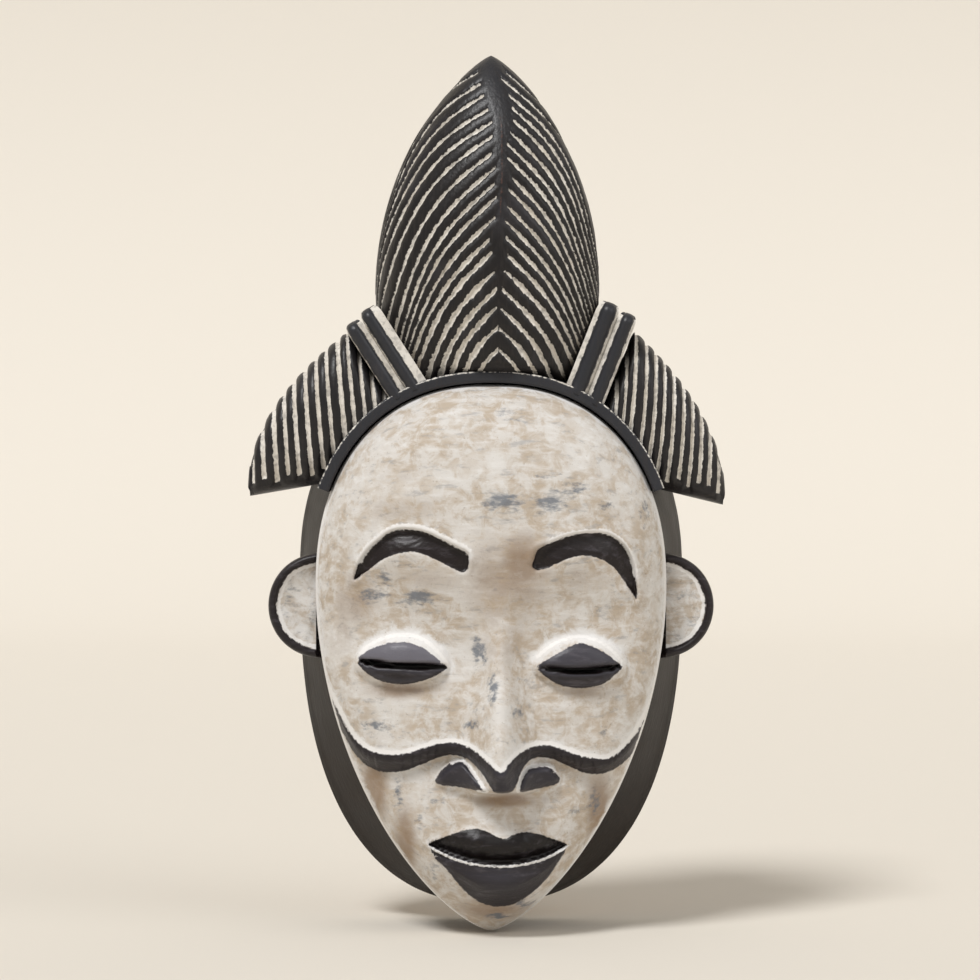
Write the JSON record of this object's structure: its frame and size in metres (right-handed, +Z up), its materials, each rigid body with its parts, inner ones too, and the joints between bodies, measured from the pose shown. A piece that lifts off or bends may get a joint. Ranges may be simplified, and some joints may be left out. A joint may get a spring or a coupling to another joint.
{
  "type": "carved wooden mask",
  "caption": "Wall mask with a whitewashed oval face, closed slit eyes, a tall grooved crest, grooved side tresses, half-round ears, a dark hollow shell and a ring hanger",
  "frame": {"origin": "hang point: the top of the ring's inside, in the plane of the wall", "axes": "+Z up along the mask, -Y out of the face away from the wall, +X to the right of someone who looks at the face"},
  "size_m": [0.2162, 0.1002, 0.3969],
  "materials": {
    "painted_wood": "matte whitewash over wood, with black-stained details",
    "shell_wood": "dark brown stain, satin outside; bare carved wood in the hollow",
    "black_wood": "black stain, satin, white paint in the grooves",
    "dowel_wood": "bare",
    "brass": "satin plated",
    "steel": "zinc plated"
  },
  "bodies": {
    "mask": {"back_shell": "shell_wood", "face": "painted_wood", "headband": "black_wood", "crest": "black_wood", "left_tress": "black_wood", "right_tress": "black_wood", "left_outer_tie": "black_wood", "left_inner_tie": "black_wood", "right_inner_tie": "black_wood", "right_outer_tie": "black_wood", "left_ear": "painted_wood", "right_ear": "painted_wood", "face_pins": "dowel_wood", "crest_dowels": "dowel_wood", "left_tress_dowel": "dowel_wood", "right_tress_dowel": "dowel_wood", "left_ear_dowel": "dowel_wood", "right_ear_dowel": "dowel_wood", "hanger_strap": "brass", "hanger_screws": "steel"},
    "hanger_ring": {"hanger_ring": "brass"}
  },
  "joints": [
    {"name": "ring_swing", "type": "hinge", "parent": "mask", "child": "hanger_ring", "pos_m": [0, -0.0039, -0.01498], "axis": [-1, 0, 0], "range_deg": [0, 180]}
  ]
}
